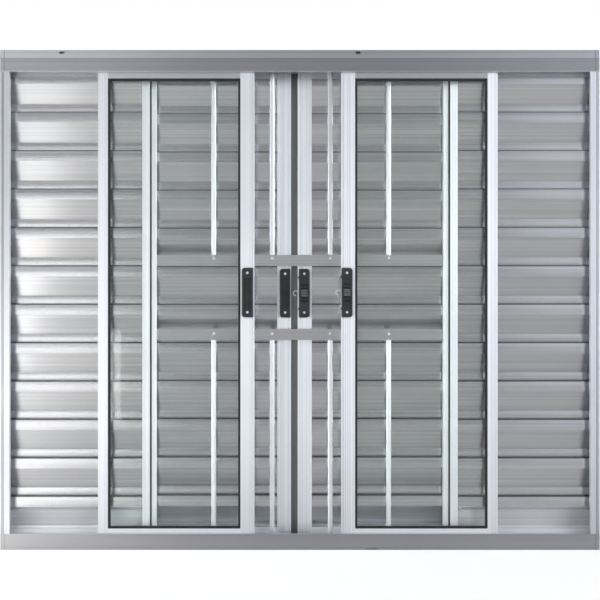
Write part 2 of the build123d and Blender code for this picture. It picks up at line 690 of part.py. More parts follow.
# Guide blocks sit in the top channels and take the head's ribs in their slots
guided = leaf_spans + (
    (middle_track, fixed_edge, web_inside - SEAT),
    (middle_track, -(web_inside - SEAT), -fixed_edge),
)
with BuildPart() as guides:
    for track, x_low, x_high in guided:
        for x in (x_low + MEETING_STILE + GUIDE_LENGTH, x_high - MEETING_STILE - GUIDE_LENGTH):
            with BuildSketch(Plane.YZ.offset(x - GUIDE_LENGTH / 2)):
                area(track - half_bay, track + half_bay, guide_floor, guide_floor + GUIDE_HEIGHT)
                slot = TRACK_RIB / 2 + SEAT
                area(track - slot, track + slot, guide_floor + 2, guide_floor + GUIDE_HEIGHT, Mode.SUBTRACT)
            extrude(amount=GUIDE_LENGTH)
save(guides, "leaf_guide_blocks")
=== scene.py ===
import math

import bpy
import numpy as np
from bpy.props import FloatProperty, FloatVectorProperty, IntProperty, PointerProperty
from bpy.types import Operator, Panel, PropertyGroup
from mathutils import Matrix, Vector


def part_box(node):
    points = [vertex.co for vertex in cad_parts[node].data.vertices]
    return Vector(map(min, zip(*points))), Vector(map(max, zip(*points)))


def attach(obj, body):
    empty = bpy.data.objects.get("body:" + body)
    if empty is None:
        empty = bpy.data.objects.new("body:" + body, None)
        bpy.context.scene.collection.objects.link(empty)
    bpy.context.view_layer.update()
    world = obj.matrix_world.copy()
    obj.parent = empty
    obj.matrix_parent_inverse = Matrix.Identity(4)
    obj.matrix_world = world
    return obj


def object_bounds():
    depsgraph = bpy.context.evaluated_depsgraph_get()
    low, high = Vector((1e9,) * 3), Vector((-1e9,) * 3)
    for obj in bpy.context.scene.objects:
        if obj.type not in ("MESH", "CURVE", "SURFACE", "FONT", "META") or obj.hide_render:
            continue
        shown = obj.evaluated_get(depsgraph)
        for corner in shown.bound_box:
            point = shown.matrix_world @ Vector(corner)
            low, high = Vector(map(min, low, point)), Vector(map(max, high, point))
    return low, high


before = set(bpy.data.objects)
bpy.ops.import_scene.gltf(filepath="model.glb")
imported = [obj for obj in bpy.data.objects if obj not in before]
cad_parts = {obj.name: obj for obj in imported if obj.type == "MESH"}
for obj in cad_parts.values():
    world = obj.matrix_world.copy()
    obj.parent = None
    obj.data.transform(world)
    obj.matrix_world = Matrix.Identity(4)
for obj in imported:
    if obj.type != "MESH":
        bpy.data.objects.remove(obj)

bl_info = {
    "name": "Louvred Shutter Window",
    "version": (1, 0, 0),
    "blender": (4, 5, 0),
    "location": "View3D > Sidebar > Window",
    "description": "Finishes, fasteners, brush seals and studio for a louvred shutter window",
    "category": "Object",
}

CAD_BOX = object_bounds()
LOW, HIGH = (np.array(corner) for corner in CAD_BOX)
SIZE = HIGH - LOW
CENTRE = (LOW + HIGH) / 2

# Width over which a painted stripe fades out, in metres
STRIPE_FADE = 0.0003
# Noise per metre along the metal's axis, for the lines of the die and for the bands of tone
LINE_SCALE = 0.25
BAND_SCALE = 0.35
# Painted shade in the corners: how far from a corner it starts, and how dark it and the other dark marks are
CORNER_SHADE_REACH = 0.006
SHADE_AND_SEAM_LEVEL = 0.22
# Milky film on low metal: height over which it ends, and how metallic the metal under it still looks
FILM_FADE = 0.012
FILM_METALLIC = 0.25
# Black plastic at its edges, painted paler partly as wear and partly as a painted highlight, and where
# fingers have worn it
RUBBED_AND_HIGHLIT = (0.2, 0.2, 0.205)
WORN = (0.16, 0.16, 0.165)

WHITE = (1.0, 1.0, 1.0)
COOL = (0.92, 0.95, 1.0)
# Name, place, aim, size, power and colour of each soft lamp
LAMPS = (
    ("left_low", (-3.7, -3.6, 0.41), (0.0, 0.0, 0.41), (2.2, 0.78), 50.0, WHITE),
    ("left_high", (-2.6, -4.6, 1.5), (0.0, 0.0, 0.8), (1.4, 1.4), 3.6, WHITE),
    ("right_low", (3.2, -4.2, 0.38), (0.0, 0.0, 0.38), (2.2, 0.72), 18.0, COOL),
    ("right_high", (3.7, -3.6, 1.55), (0.0, 0.0, 0.8), (2.2, 1.6), 84.0, COOL),
    ("low_left", (-1.5, -5.5, 0.22), (-0.5, 0.0, 0.3), (1.3, 0.44), 5.6, WHITE),
    ("far_right", (1.35, -5.5, 1.25), (0.5, 0.0, 0.6), (0.7, 1.6), 1.7, (0.86, 0.91, 1.0)),
    ("floor_left", (-1.12, -1.03, 0.01), (-1.12, -1.03, 3.0), (1.0, 1.35), 2.7, (1.0, 0.985, 0.965)),
    ("floor_middle", (-0.42, -1.35, 0.01), (-0.42, -1.35, 3.0), (0.4, 0.9), 0.12, (1.0, 0.98, 0.95)),
    ("near_left", (-0.80, -0.42, 0.34), (-0.80, -0.4201, 0.0), (0.25, 0.25), 1.2, (1.0, 0.98, 0.95)),
    ("sill_left", (-0.70, -0.22, 0.16), (-0.70, -0.2201, 0.0), (0.12, 0.12), 0.12, WHITE),
    ("top_box", (0.0, -1.2, 3.2), (0.0, -0.4, 0.0), (3.0, 1.6), 12.0, WHITE),
    ("slope_box", (-1.3, -2.3, 2.45), (-0.3, 0.0, 0.1), (1.6, 0.9), 5.0, WHITE),
)


def tint(name, description, default):
    """A colour that a user may change."""
    return FloatVectorProperty(
        name=name, description=description, subtype="COLOR", size=3, min=0.0, max=1.0, default=default
    )


def length(name, description, default):
    """A length in metres that a user may change."""
    return FloatProperty(name=name, description=description, unit="LENGTH", min=0.0, default=default)


def share(name, description, default):
    """A value from none to full that a user may change."""
    return FloatProperty(
        name=name, description=description, subtype="FACTOR", min=0.0, max=1.0, default=default
    )


class MetalSettings(PropertyGroup):
    """Colours and gloss of the extruded and drawn metal."""

    frame_tint: tint("Frame", "Anodised head and sill", (0.81, 0.82, 0.845))
    sill_tint: tint("Sill", "Bright metal inside the sill", (0.93, 0.935, 0.95))
    jamb_tint: tint("Jambs", "Bright anodised jambs", (0.84, 0.85, 0.87))
    stile_tint: tint("Stiles and rails", "Bright anodised leaf profiles", (0.94, 0.95, 0.985))
    # Painted reflection: the meeting stiles carry the stiles' metal, painted lighter and bluer
    meeting_lit_tint: tint("Meeting stiles", "Bright anodised meeting stiles", (0.975, 0.99, 1.0))
    slat_tint: tint("Slats", "Bright drawn slats", (0.86, 0.86, 0.86))
    grille_tint: tint("Grille", "Grille rails", (0.78, 0.78, 0.77))
    bar_tint: tint("Bars", "Grille bars and posts", (0.97, 0.97, 0.97))
    frame_roughness: share("Frame roughness", "Blur of reflections in the frame", 0.30)
    stile_roughness: share("Stile roughness", "Blur of reflections in the leaf profiles", 0.38)
    slat_roughness: share("Slat roughness", "Blur of reflections in the slats", 0.22)
    jamb_roughness: share("Jamb roughness", "Blur of reflections in the jambs", 0.3)
    grille_roughness: share("Grille roughness", "Blur of reflections in the grille's rails", 0.4)
    bar_roughness: share("Bar roughness", "Blur of reflections in the grille's bars and posts", 0.36)
    jamb_metallic: share("Jamb metallic", "How metallic the jambs look", 0.75)
    highlight_spread: share("Highlight spread", "Stretch of highlights across the lines of the die", 0.7)
    # Painted shade: the left edge of the painted-dark tongue between the meeting stiles
    tongue_shade_edge: FloatProperty(
        name="Strip edge", description="Left edge of the dark strip", unit="LENGTH", default=-0.0182
    )
    flange: length("Jamb flange", "Width of a jamb's outer flange", 0.0085)
    seam_shade: share("Seam shade", "Dark seam where head and sill meet the jambs", 0.8)
    # Painted shade in a jamb's groove
    groove_shade: share("Groove shade", "Darker groove of a jamb", 0.42)
    # Painted shade in a band under the head's lip
    head_shade: share("Head shade", "Darker band under the lip of the head", 0.3)
    head_band: length("Head band", "From the top of the window to the middle of that band", 0.0285)
    head_band_half: length("Head band half", "Half the width of that band", 0.0125)
    # Painted shade on the sill's front
    sill_shade: share("Sill shade", "Darker front of the sill", 0.42)
    sill_face: length("Sill face", "Depth of the sill's front that is darker", 0.004)
    slat_film: length("Slat film", "Height up to which the fixed shutters' slats look milky", 0.082)
    rail_film: length("Rail film", "Height up to which the rails look milky", 0.05)
    slat_count: IntProperty(name="Slats", description="Slats in each shutter", default=12, min=1)
    crown_rise: length("Crown", "Rise in the middle of a slat's upright flats", 0.0005)
    line_pitch: length("Drawing lines", "Distance between the fine lines left by the die", 0.0011)


class TrimSettings(PropertyGroup):
    """Colours of glass, plastic, rubber and pile."""

    glass_tint: tint("Glass", "Faint green of the panes", (0.955, 0.975, 0.96))
    rubber_tint: tint("Gaskets", "Black glazing rubber", (0.012, 0.013, 0.014))
    plastic_tint: tint("Pulls", "Black moulded nylon", (0.022, 0.023, 0.025))
    pile_tint: tint("Brush pile", "Black pile beside the grille posts", (0.014, 0.014, 0.016))
    nylon_tint: tint("Rollers", "Natural nylon rollers and guides", (0.72, 0.72, 0.69))


class FastenerSettings(PropertyGroup):
    """Sizes of the small fasteners."""

    screw_radius: length("Screw head", "Radius of a pull's screw head", 0.0027)
    screw_height: length("Screw height", "Height of a screw head", 0.0022)
    rivet_radius: length("Rivet head", "Radius of a grille rivet's head", 0.0031)
    rivet_height: length("Rivet height", "Height of a rivet's head", 0.002)
    pull_screw_inset: length("Screw inset", "From a pull's end to its screw", 0.01)
    seat_depth: length("Screw seat", "Depth of a screw's seat in a pull", 0.0012)
    pile_reach: length("Pile reach", "How far the pile stands out of its backing", 0.0014)
    jamb_screw_radius: length("Jamb screw head", "Radius of a jamb screw's head", 0.0024)
    jamb_screw_inset: length("Jamb screw inset", "From the window's side to a jamb screw", 0.0152)
    left_screw_rise: length("Left jamb screw", "Height of the screw in the left jamb", 0.486)
    right_screw_rise: length("Right jamb screw", "Height of the screw in the right jamb", 0.498)
    rivet_inset: length("Rivet inset", "From the upper rail's top edge to its rivets", 0.0066)
    lower_rivet_inset: length("Lower rivet inset", "From the lower rail's top edge to its rivets", 0.0099)
    bar_width: length("Bar width", "Width of a grille bar", 0.01)
    bar_count: IntProperty(name="Bars", description="Bars across the grille", default=4, min=2)
    tuft_count: IntProperty(name="Tufts", description="Steps along a brush's pile", default=1200, min=2)


class StudioSettings(PropertyGroup):
    """Camera, floor and light."""

    distance: length("Distance", "From the room face to the camera", 4.0)
    eye_height: length("Eye height", "Height of the camera above the floor", 0.44)
    picture_width: IntProperty(name="Picture width", description="Picture size in pixels", default=600)
    window_top: FloatProperty(
        name="Window top", description="Picture row of the window's top edge", default=50.0
    )
    floor_tint: tint("Floor", "Pale floor", (0.72, 0.715, 0.705))
    room_tint: tint("Room", "Soft light of the room", (0.265, 0.27, 0.285))
    mirrored_room: share("Mirrored room", "White that metal and glass see behind the window", 0.45)
    floor_glow: share("Floor glow", "White added to the floor for the camera", 0.6)


def settings():
    """The scene's settings, one group for each kind."""
    return bpy.context.scene.louvred_window


class WindowSettings(PropertyGroup):
    """All settings of the window."""

    metal: PointerProperty(type=MetalSettings)
    trim: PointerProperty(type=TrimSettings)
    fasteners: PointerProperty(type=FastenerSettings)
    studio: PointerProperty(type=StudioSettings)


def nodes_named(*endings):
    """CAD nodes whose names end with one of the given words."""
    found = [part for name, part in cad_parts.items() if name.endswith(endings)]
    if not found:
        raise RuntimeError(f"the frame has no node ending with {endings}")
    return found


def give(parts, material):
    """Put one material on each part."""
    for part in parts:
        part.data.materials.clear()
        part.data.materials.append(material)


class Shader:
    """A small helper that adds nodes to one material and links them."""

    def __init__(self, name):
        self.material = bpy.data.materials.new(name)
        self.material.use_nodes = True
        self.tree = self.material.node_tree
        self.surface = self.tree.nodes["Principled BSDF"]
        self.output = self.tree.nodes["Material Output"]
        self.place = self.add("ShaderNodeTexCoord").outputs["Object"]

    def add(self, kind, **values):
        node = self.tree.nodes.new(kind)
        for key, value in values.items():
            setattr(node, key, value)
        return node

    def link(self, source, target):
        self.tree.links.new(source, target)

    def stretched(self, scale):
        """Object coordinates, scaled by a factor on each axis."""
        mapping = self.add("ShaderNodeMapping")
        mapping.inputs["Scale"].default_value = scale
        self.link(self.place, mapping.inputs["Vector"])
        return mapping.outputs["Vector"]

    def noise(self, vector, scale=1.0, detail=2.0, roughness=0.5):
        node = self.add("ShaderNodeTexNoise")
        node.inputs["Scale"].default_value = scale
        node.inputs["Detail"].default_value = detail
        node.inputs["Roughness"].default_value = roughness
        self.link(vector, node.inputs["Vector"])
        return node.outputs["Fac"]

    def fit(self, value, from_low, from_high, to_low, to_high):
        node = self.add("ShaderNodeMapRange")
        limits = {"From Min": from_low, "From Max": from_high, "To Min": to_low, "To Max": to_high}
        for key, number in limits.items():
            node.inputs[key].default_value = number
        self.link(value, node.inputs["Value"])
        return node.outputs["Result"]

    def maths(self, operation, first, second):
        node = self.add("ShaderNodeMath", operation=operation)
        for socket, value in zip(node.inputs, (first, second)):
            if isinstance(value, (int, float)):
                socket.default_value = value
            else:
                self.link(value, socket)
        return node.outputs["Value"]

    def blend(self, factor, first, second):
        """Mix of two colours; a colour is a tuple or a socket."""
        node = self.add("ShaderNodeMix", data_type="RGBA")
        self.link(factor, node.inputs["Factor"])
        sockets = [socket for socket in node.inputs if socket.type == "RGBA"]
        for socket, value in zip(sockets, (first, second)):
            if isinstance(value, tuple):
                socket.default_value = (*value, 1.0)
            else:
                self.link(value, socket)
        return next(socket for socket in node.outputs if socket.type == "RGBA")

    def bump(self, height, strength, distance, normal=None):
        node = self.add("ShaderNodeBump")
        node.inputs["Strength"].default_value = strength
        node.inputs["Distance"].default_value = distance
        self.link(height, node.inputs["Height"])
        if normal is not None:
            self.link(normal, node.inputs["Normal"])
        return node.outputs["Normal"]

    def soft_edge(self, radius):
        """Normals rounded over the edges, as a die leaves them."""
        node = self.add("ShaderNodeBevel", samples=4)
        node.inputs["Radius"].default_value = radius
        return node.outputs["Normal"]


def shaded(colour, factor, cast=(1.0, 1.0, 1.0)):
    """A colour made darker or lighter by a factor and turned by a cast, kept within white."""
    return tuple(min(1.0, channel * factor * turn) for channel, turn in zip(colour, cast))


def drawn_metal(
    name, colour, roughness, along, edge=0.0003, contrast=0.06, band=0.018,
    metallic=1.0, film_top=0.0, crown=None, marks=(),
):
    """Extruded aluminium: fine lines of the die, bands of cooler and warmer tone, painted shade in the
    corners.

    along is the axis of the lines, 0, 1 or 2, and band is the width of the bands. Below film_top the metal
    has a milky film. crown makes a height of its flats. Each of marks takes the shader and returns a mask of
    the places painted darker: mostly painted shade, and the dark seams of the frame.
    """
    metal = settings().metal
    shader = Shader(name)
    scale = [1.0 / metal.line_pitch] * 3
    scale[along] = LINE_SCALE
    lines = shader.noise(shader.stretched(scale), detail=2.0, roughness=0.6)
    bands_scale = [1.0 / band] * 3
    bands_scale[along] = BAND_SCALE
    streaks = shader.noise(shader.stretched(bands_scale), detail=2.0)
    clouds = shader.noise(shader.place, scale=4.0, detail=3.0)
    fine = shader.fit(lines, 0.3, 0.7, 0.0, 1.0)
    slow = shader.maths("MULTIPLY", streaks, 0.75)
    slow = shader.maths("ADD", slow, shader.maths("MULTIPLY", clouds, 0.25))
    slow = shader.fit(slow, 0.35, 0.65, 0.0, 1.0)
    tone = shader.maths("ADD", shader.maths("MULTIPLY", fine, 0.3), shader.maths("MULTIPLY", slow, 0.7))
    cool = shaded(colour, 1.0 - contrast, (0.95, 0.99, 1.05))
    warm = shaded(colour, 1.0 + contrast, (1.02, 1.0, 0.985))
    base = shader.blend(tone, cool, warm)
    # Painted shade: ambient occlusion darkens the corners, and the marks add painted shade and dark seams
    corners = shader.add("ShaderNodeAmbientOcclusion", samples=6)
    corners.inputs["Distance"].default_value = CORNER_SHADE_REACH
    painted_shade_and_seams = shader.fit(corners.outputs["AO"], 0.15, 0.75, 1.0, 0.0)
    for mark in marks:
        painted_shade_and_seams = shader.maths("MAXIMUM", painted_shade_and_seams, mark(shader))
    base = shader.blend(painted_shade_and_seams, base, shaded(colour, SHADE_AND_SEAM_LEVEL))
    shader.link(base, shader.surface.inputs["Base Color"])
    rough = shader.fit(tone, 0.0, 1.0, max(0.05, roughness - 0.03), roughness + 0.03)
    shader.link(rough, shader.surface.inputs["Roughness"])
    normal = shader.soft_edge(edge) if edge else None
    if crown is not None:
        normal = shader.bump(crown(shader), 1.0, metal.crown_rise, normal)
    shader.link(shader.bump(lines, 0.02, 0.00005, normal), shader.surface.inputs["Normal"])
    across = shader.add("ShaderNodeCombineXYZ")
    for index, socket in enumerate(across.inputs):
        socket.default_value = 0.0 if index == along else 1.0
    shader.link(across.outputs["Vector"], shader.surface.inputs["Tangent"])
    shader.surface.inputs["Metallic"].default_value = metallic
    if film_top:
        height = shader.add("ShaderNodeSeparateXYZ")
        shader.link(shader.place, height.inputs["Vector"])
        uneven = shader.maths("ADD", height.outputs["Z"], shader.maths("MULTIPLY", streaks, 0.02))
        clear = shader.fit(uneven, film_top, film_top + FILM_FADE, FILM_METALLIC, metallic)
        shader.link(clear, shader.surface.inputs["Metallic"])
    shader.surface.inputs["Anisotropic"].default_value = metal.highlight_spread
    return shader.material


def stripe(axis, middle, half, strength, mirrored=False):
    """Mask maker: one dark stripe across an axis (X, Y or Z), on both sides of the window if mirrored."""

    def mask(shader):
        place = shader.add("ShaderNodeSeparateXYZ")
        shader.link(shader.place, place.inputs["Vector"])
        across = place.outputs[axis]
        if mirrored:
            across = shader.maths("ABSOLUTE", across, 0.0)
        distance = shader.maths("ABSOLUTE", shader.maths("SUBTRACT", across, middle), 0.0)
        return shader.fit(distance, half, half + STRIPE_FADE, strength, 0.0)

    return mask


def slat_fall(shader, high, pitch):
    """How far each point lies below the top of its slat, as a share of the slats' pitch."""
    height = shader.add("ShaderNodeSeparateXYZ")
    shader.link(shader.place, height.inputs["Vector"])
    drop = shader.maths("SUBTRACT", high, height.outputs["Z"])
    return shader.maths("FRACT", shader.maths("DIVIDE", drop, pitch), 0.0)


def slat_gap_shade(node_name, count, above=0.0009, below=0.0022, fade=0.001, strength=0.9):
    """Mask maker: painted shade as a dark line along the top edge of every slat, from the slats' pitch."""
    low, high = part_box(node_name)
    pitch = (high.z - low.z) / count

    def mask(shader):
        fall = shader.maths("MULTIPLY", slat_fall(shader, high.z + above, pitch), pitch)
        return shader.fit(fall, above + below - fade, above + below, strength, 0.0)

    return mask


def slat_crown(node_name, count, upper_end=0.32, lower_start=0.78):
    """Height maker: the upright flats over and under a slat's slope are crowned a little, as parabolas."""
    low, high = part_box(node_name)
    pitch = (high.z - low.z) / count

    def height(shader):
        fall = slat_fall(shader, high.z, pitch)
        total = 0.0
        for start, stop in ((0.0, upper_end), (lower_start, 1.0)):
            way = shader.fit(fall, start, stop, 0.0, 1.0)
            arc = shader.maths("MULTIPLY", way, shader.maths("SUBTRACT", 1.0, way))
            rise = 4.0 * (stop - start) / upper_end
            total = shader.maths("ADD", total, shader.maths("MULTIPLY", arc, rise))
        return total

    return height


def tongue_shade_strip(left, right, widest=0.02):
    """Mask maker: painted shade on the tongue that closes the gap between the two meeting stiles."""
    start, stop = settings().metal.tongue_shade_edge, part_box(left)[1].x
    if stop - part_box(right)[0].x > widest or stop <= start:
        raise RuntimeError("the meeting stiles don't leave a gap for the strip")
    return stripe("X", (start + stop) / 2, (stop - start) / 2, 1.0)


def zinc(name, colour, roughness, metallic=1.0):
    """Plated steel of small fasteners: mottled bright metal, milky where it is less metallic."""
    shader = Shader(name)
    mottle = shader.noise(shader.place, scale=900.0, detail=3.0)
    base = shader.blend(mottle, shaded(colour, 0.82), shaded(colour, 1.1))
    shader.link(base, shader.surface.inputs["Base Color"])
    rough = shader.fit(mottle, 0.3, 0.7, roughness - 0.06, roughness + 0.08)
    shader.link(rough, shader.surface.inputs["Roughness"])
    shader.surface.inputs["Metallic"].default_value = metallic
    return shader.material


def moulded(name, colour, roughness, grain, depth, edge=0.0007, wear=0.0, pale=()):
    """Moulded plastic or rubber: fine grain, painted shade in the recesses, and edges painted paler, partly
    as wear and partly as a painted highlight; these last two only when their strength is above none.

    Each of pale takes the shader and returns a mask of the places that fingers have worn paler.
    """
    shader = Shader(name)
    pores = shader.noise(shader.place, scale=grain, detail=2.0)
    smears = shader.noise(shader.place, scale=35.0, detail=3.0)
    base = shader.blend(shader.fit(smears, 0.35, 0.7, 0.0, 1.0), colour, shaded(colour, 1.7))
    rounded = shader.soft_edge(edge)
    if wear:
        flat = shader.add("ShaderNodeNewGeometry").outputs["Normal"]
        turn = shader.add("ShaderNodeVectorMath", operation="DOT_PRODUCT")
        shader.link(rounded, turn.inputs[0])
        shader.link(flat, turn.inputs[1])
        # Edges painted paler: partly wear, partly a painted highlight on the rounded edges
        edge_wear_and_highlight = shader.fit(turn.outputs["Value"], 0.995, 0.9, 0.0, wear)
        base = shader.blend(edge_wear_and_highlight, base, RUBBED_AND_HIGHLIT)
        # Painted shade: ambient occlusion darkens the recesses
        hollow = shader.add("ShaderNodeAmbientOcclusion", samples=6)
        hollow.inputs["Distance"].default_value = 0.004
        deep = shader.fit(hollow.outputs["AO"], 0.3, 0.85, 0.85, 0.0)
        base = shader.blend(deep, base, shaded(colour, 0.3))
    for place in pale:
        base = shader.blend(place(shader), base, WORN)
    shader.link(base, shader.surface.inputs["Base Color"])
    rough = shader.fit(smears, 0.3, 0.7, roughness - 0.06, roughness + 0.1)
    shader.link(rough, shader.surface.inputs["Roughness"])
    shader.link(shader.bump(pores, 0.25, depth, rounded), shader.surface.inputs["Normal"])
    return shader.material


def float_glass(name, colour):
    """Clear sheet glass: sees through with a faint green and a soft film of dust."""
    shader = Shader(name)
    film = shader.noise(shader.stretched((7.0, 7.0, 3.0)), detail=4.0)
    ripple = shader.noise(shader.place, scale=3.0, detail=1.0)
    shader.link(shader.fit(film, 0.3, 0.8, 0.0, 0.035), shader.surface.inputs["Roughness"])
    tinted = shader.blend(shader.fit(film, 0.3, 0.7, 0.0, 1.0), shaded(colour, 0.985), colour)
    shader.link(tinted, shader.surface.inputs["Base Color"])
    shader.link(shader.bump(ripple, 0.02, 0.001), shader.surface.inputs["Normal"])
    shader.surface.inputs["Transmission Weight"].default_value = 1.0
    shader.surface.inputs["IOR"].default_value = 1.45
    clear = shader.add("ShaderNodeBsdfTransparent")
    clear.inputs["Color"].default_value = (*colour, 1.0)
    lit = shader.add("ShaderNodeLightPath")
    mixed = shader.add("ShaderNodeMixShader")
    shader.link(lit.outputs["Is Shadow Ray"], mixed.inputs["Fac"])
    shader.link(shader.surface.outputs["BSDF"], mixed.inputs[1])
    shader.link(clear.outputs["BSDF"], mixed.inputs[2])
    shader.link(mixed.outputs["Shader"], shader.output.inputs["Surface"])
    return shader.material


def build_mesh(name, points, faces, material, smooth=True):
    """A mesh object from a point array and quad indices, carried by the window."""
    mesh = bpy.data.meshes.new(name)
    mesh.from_pydata(points.tolist(), [], faces.tolist())
    mesh.update()
    mesh.polygons.foreach_set("use_smooth", np.full(len(mesh.polygons), smooth))
    mesh.materials.append(material)
    piece = bpy.data.objects.new(name, mesh)
    bpy.context.scene.collection.objects.link(piece)
    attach(piece, "root")
    return piece


def grid_faces(rows, columns):
    """Quads of a grid of points that closes on itself along its columns."""
    row, column = np.meshgrid(np.arange(rows - 1), np.arange(columns), indexing="ij")
    following = (column + 1) % columns
    corners = [row * columns + column, row * columns + following]
    corners += [(row + 1) * columns + following, (row + 1) * columns + column]
    return np.stack(corners, axis=-1).reshape(-1, 4)


def repeated(points, faces, places):
    """The same form at each place: points shifted by each place, faces numbered on."""
    shifted = (points[None, :, :] + places[:, None, :]).reshape(-1, 3)
    steps = (np.arange(len(places)) * len(points))[:, None, None]
    return shifted, (faces[None, :, :] + steps).reshape(-1, 4)


def head_form(radius, height, cross, turn=0.4, rings=14, sides=40):
    """A fastener's head that faces the room, as a surface of two parameters.

    The ring parameter s runs from near the centre to the rim, and the last ring lies on the seat; the angle a
    goes round. The height over the seat is a quarter of the full height, plus three quarters of it times the
    square root of one minus s to the fourth, less a cross-shaped recess whose depth fades with the smaller of
    the distances to the two turned axes of the cross. Its centre and its underside are open.
    """
    s = np.concatenate([np.linspace(0.02, 1.0, rings), [1.0]])
    a = np.linspace(0.0, 2.0 * math.pi, sides, endpoint=False)
    s_grid, a_grid = np.meshgrid(s, a, indexing="ij")
    x = radius * s_grid * np.cos(a_grid)
    z = radius * s_grid * np.sin(a_grid)
    rim = 0.25
    arm_half, arm_end = 0.17 * radius, 0.62 * radius
    lift = height * np.sqrt(np.clip(1.0 - s_grid**4, 0.0, 1.0)) * (1.0 - rim) + height * rim
    u = x * math.cos(turn) + z * math.sin(turn)
    v = z * math.cos(turn) - x * math.sin(turn)
    arm = np.minimum(np.abs(u), np.abs(v)) / arm_half
    reach = np.maximum(np.abs(u), np.abs(v)) / arm_end
    recess = np.clip(1.6 - arm, 0.0, 1.0) * np.clip((1.0 - reach) * 4.0, 0.0, 1.0)
    lift = lift - cross * height * 0.6 * recess
    lift[-1] = 0.0
    points = np.stack([x, -lift, z], axis=-1).reshape(-1, 3)
    return points, grid_faces(len(s), sides)


def points_of(node):
    """All mesh points of one CAD node."""
    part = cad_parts[node]
    points = np.empty(len(part.data.vertices) * 3, np.float32)
    part.data.vertices.foreach_get("co", points)
    return points.reshape(-1, 3)


def pull_seats(node, inset, seat_depth, zone=0.012):
    """Places of the screw seats of a node's two pulls, found from the points at the pulls' ends."""
    points = points_of(node)
    depths = np.sort(points[:, 1])
    split = (depths[0] + depths[-1]) / 2
    places = []
    for chosen in (points[points[:, 1] < split], points[points[:, 1] >= split]):
        low, high = chosen[:, 2].min(), chosen[:, 2].max()
        for end, height in ((low, low + inset), (high, high - inset)):
            tip = chosen[np.abs(chosen[:, 2] - end) < zone]
            if not len(tip):
                raise RuntimeError(f"node {node} has no points at the end {end}")
            middle = (tip[:, 0].min() + tip[:, 0].max()) / 2
            places.append((middle, tip[:, 1].min() + seat_depth, height))
    return places


def slide_faces(node):
    """Mask makers for the faces nearest the room on a node's two pulls: the tops of their thumb slides."""
    depths = np.sort(points_of(node)[:, 1])
    near = depths[0]
    far = depths[depths >= (near + depths[-1]) / 2][0]
    return stripe("Y", float(near), 0.0004, 1.0), stripe("Y", float(far), 0.0004, 1.0)


class WINDOW_OT_frame_finish(Operator):
    """Satin anodised head, sill and jambs"""

    bl_idname = "window.frame_finish"
    bl_label = "Frame finish"

    def execute(self, context):
        metal = settings().metal
        side, top = float(HIGH[0]), float(HIGH[2])
        blur = metal.frame_roughness
        seam = stripe("X", side - metal.flange, STRIPE_FADE, metal.seam_shade, mirrored=True)
        # Painted shade: a darker band under the lip of the head
        shade = stripe("Z", top - metal.head_band, metal.head_band_half, metal.head_shade)
        # Painted shade: the sill's front painted darker
        face = stripe("Y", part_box("frame_sill")[0].y, metal.sill_face, metal.sill_shade)
        # Painted shade in the groove of each jamb
        groove_middle, groove_half = side - 0.65 * metal.flange, 0.3 * metal.flange
        groove = stripe("X", groove_middle, groove_half, metal.groove_shade, mirrored=True)
        head = drawn_metal(
            "head_metal", tuple(metal.frame_tint), blur, along=0, contrast=0.1, band=0.009,
            marks=(seam, shade),
        )
        sill = drawn_metal(
            "sill_metal", tuple(metal.sill_tint), blur, along=0, contrast=0.05, band=0.009,
            marks=(seam, face),
        )
        upright = drawn_metal(
            "jamb_metal", tuple(metal.jamb_tint), metal.jamb_roughness, along=2, contrast=0.08,
            metallic=metal.jamb_metallic, marks=(groove,),
        )
        give(nodes_named("frame_head"), head)
        give(nodes_named("frame_sill"), sill)
        give(nodes_named("frame_jamb_left", "frame_jamb_right"), upright)
        return {"FINISHED"}


class WINDOW_OT_leaf_finish(Operator):
    """Bright anodised stiles and rails of every leaf"""

    bl_idname = "window.leaf_finish"
    bl_label = "Stiles and rails"

    def execute(self, context):
        metal = settings().metal
        tone, blur = tuple(metal.stile_tint), metal.stile_roughness
        stile = {"along": 2, "contrast": 0.15, "band": 0.0032}
        give(nodes_named("_stile"), drawn_metal("stile_metal", tone, blur, **stile))
        rail = drawn_metal("rail_metal", tone, blur, along=0, band=0.004, film_top=metal.rail_film)
        give(nodes_named("_top_rail", "_bottom_rail"), rail)
        left, right = "sliding_shutter_left_meeting_stile", "sliding_shutter_right_meeting_stile"
        # Painted shade on the tongue between the meeting stiles
        strip = tongue_shade_strip(left, right)
        # Painted reflection: the meeting stiles are painted lighter and bluer than the other stiles
        bright = tuple(metal.meeting_lit_tint)
        give([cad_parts[left]], drawn_metal("left_meeting_metal", bright, blur, **stile, marks=(strip,)))
        give([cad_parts[right]], drawn_metal("right_meeting_metal", bright, blur, **stile))
        return {"FINISHED"}


class WINDOW_OT_slat_finish(Operator):
    """Bright slats with the lines of the die along them"""

    bl_idname = "window.slat_finish"
    bl_label = "Slats"

    def execute(self, context):
        metal = settings().metal
        tone, blur = tuple(metal.slat_tint), metal.slat_roughness
        for leaf in nodes_named("_slats"):
            film_top = metal.slat_film if leaf.name.startswith("fixed") else 0.0
            crown = slat_crown(leaf.name, metal.slat_count)
            # Painted shade: a dark line along the top edge of each slat
            slat_shade = slat_gap_shade(leaf.name, metal.slat_count)
            finish = drawn_metal(
                f"{leaf.name}_metal", tone, blur, along=0, edge=0.0, contrast=0.13, band=0.0045,
                film_top=film_top, crown=crown, marks=(slat_shade,),
            )
            give([leaf], finish)
        return {"FINISHED"}


